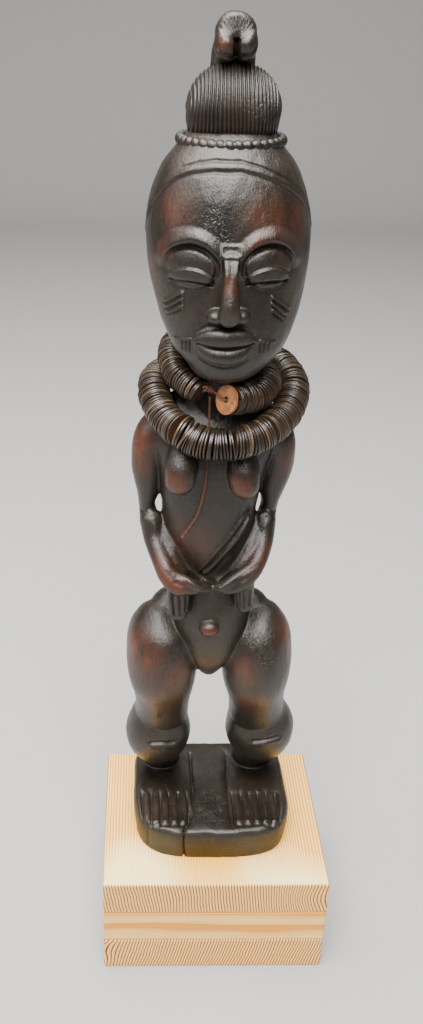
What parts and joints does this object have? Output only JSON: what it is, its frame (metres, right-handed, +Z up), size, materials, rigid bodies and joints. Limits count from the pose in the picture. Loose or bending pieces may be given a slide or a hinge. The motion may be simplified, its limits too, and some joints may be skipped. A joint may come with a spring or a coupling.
{
  "type": "carved wooden standing female figure on a laminated block",
  "caption": "Dark carved wooden woman with a large oval head, ribbed bun, hands on her belly and a necklace of shell discs, on a pale laminated block.",
  "frame": {"origin": "middle of the block's underside, on the surface that the statue stands on", "axes": "+Z up; the figure looks along -Y; +X is to the right of someone who faces the figure"},
  "size_m": [0.144, 0.124, 0.5723],
  "materials": {
    "dark_wood": "near-black waxed wood rubbed red-brown on the high places",
    "softwood_top": "bare planed softwood, pale at the front, end grain on the front face",
    "softwood_middle": "bare planed softwood, long grain on the front face",
    "softwood_bottom": "bare planed softwood, end grain on the front face",
    "shell_discs": "dark polished coconut-shell rims with bright streaks",
    "pale_disc": "bare orange-brown shell face",
    "cord": "thin rust-brown twisted cord"
  },
  "bodies": {
    "root": {"carved_figure": "dark_wood", "disc_run_01": "shell_discs", "disc_run_02": "shell_discs", "disc_run_03": "shell_discs", "disc_run_04": "shell_discs", "disc_run_05": "shell_discs", "disc_run_06": "shell_discs", "disc_run_07": "shell_discs", "disc_run_08": "shell_discs", "disc_run_09": "shell_discs", "disc_run_10": "shell_discs", "disc_run_11": "shell_discs", "disc_run_12": "shell_discs", "disc_run_13": "shell_discs", "disc_run_14": "shell_discs", "disc_run_15": "shell_discs", "disc_run_16": "shell_discs", "disc_run_17": "shell_discs", "disc_run_18": "shell_discs", "disc_run_19": "shell_discs", "disc_run_20": "shell_discs", "disc_run_21": "shell_discs", "disc_run_22": "shell_discs", "disc_run_23": "shell_discs", "disc_run_24": "shell_discs", "disc_run_25": "shell_discs", "end_disc": "pale_disc", "necklace_cord_tail": "cord", "necklace_knot": "cord", "plinth_bottom_board": "softwood_bottom", "plinth_middle_board": "softwood_middle", "plinth_top_board": "softwood_top"}
  },
  "joints": []
}
